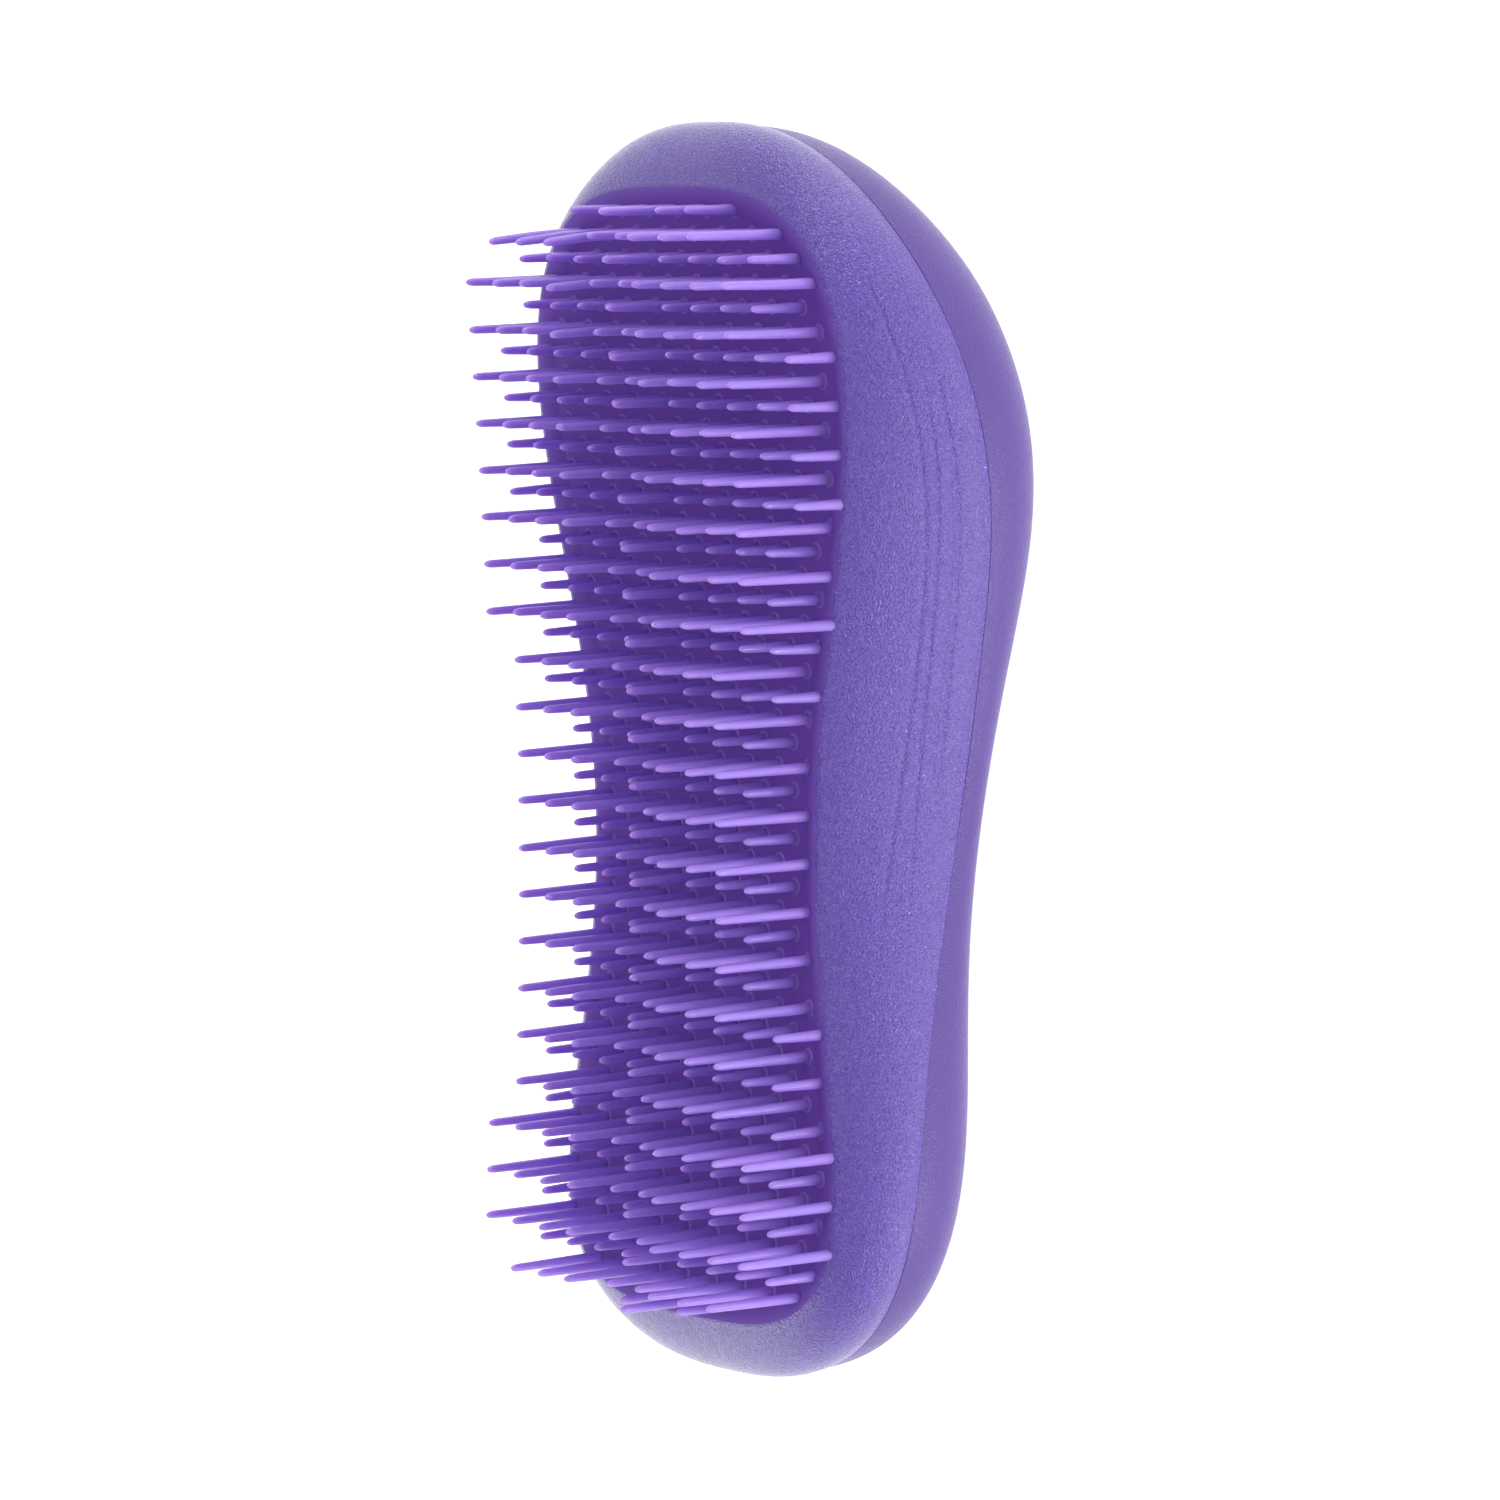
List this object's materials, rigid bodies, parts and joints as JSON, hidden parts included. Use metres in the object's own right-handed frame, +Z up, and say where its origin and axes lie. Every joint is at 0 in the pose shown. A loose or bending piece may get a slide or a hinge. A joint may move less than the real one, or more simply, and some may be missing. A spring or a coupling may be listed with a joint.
{
  "type": "detangling brush",
  "caption": "Palm-held mane and tail detangling brush: a waisted shell body with a shallow tray of rigid straight teeth in three lengths.",
  "frame": {"origin": "on the surface that the brush lies on, under the centre of its box", "axes": "+X runs along the body to the wide head end, +Y across it, +Z up; the brush lies on its back with the teeth pointing up"},
  "size_m": [0.1314, 0.0644, 0.0437],
  "materials": {
    "shell_plastic": "fine spark-eroded grain",
    "cover_plastic": "satin",
    "tooth_plastic": "smooth, slightly translucent"
  },
  "bodies": {
    "root": {"front_shell": "shell_plastic", "back_cover": "cover_plastic", "tooth_plate": "tooth_plastic"}
  },
  "joints": []
}
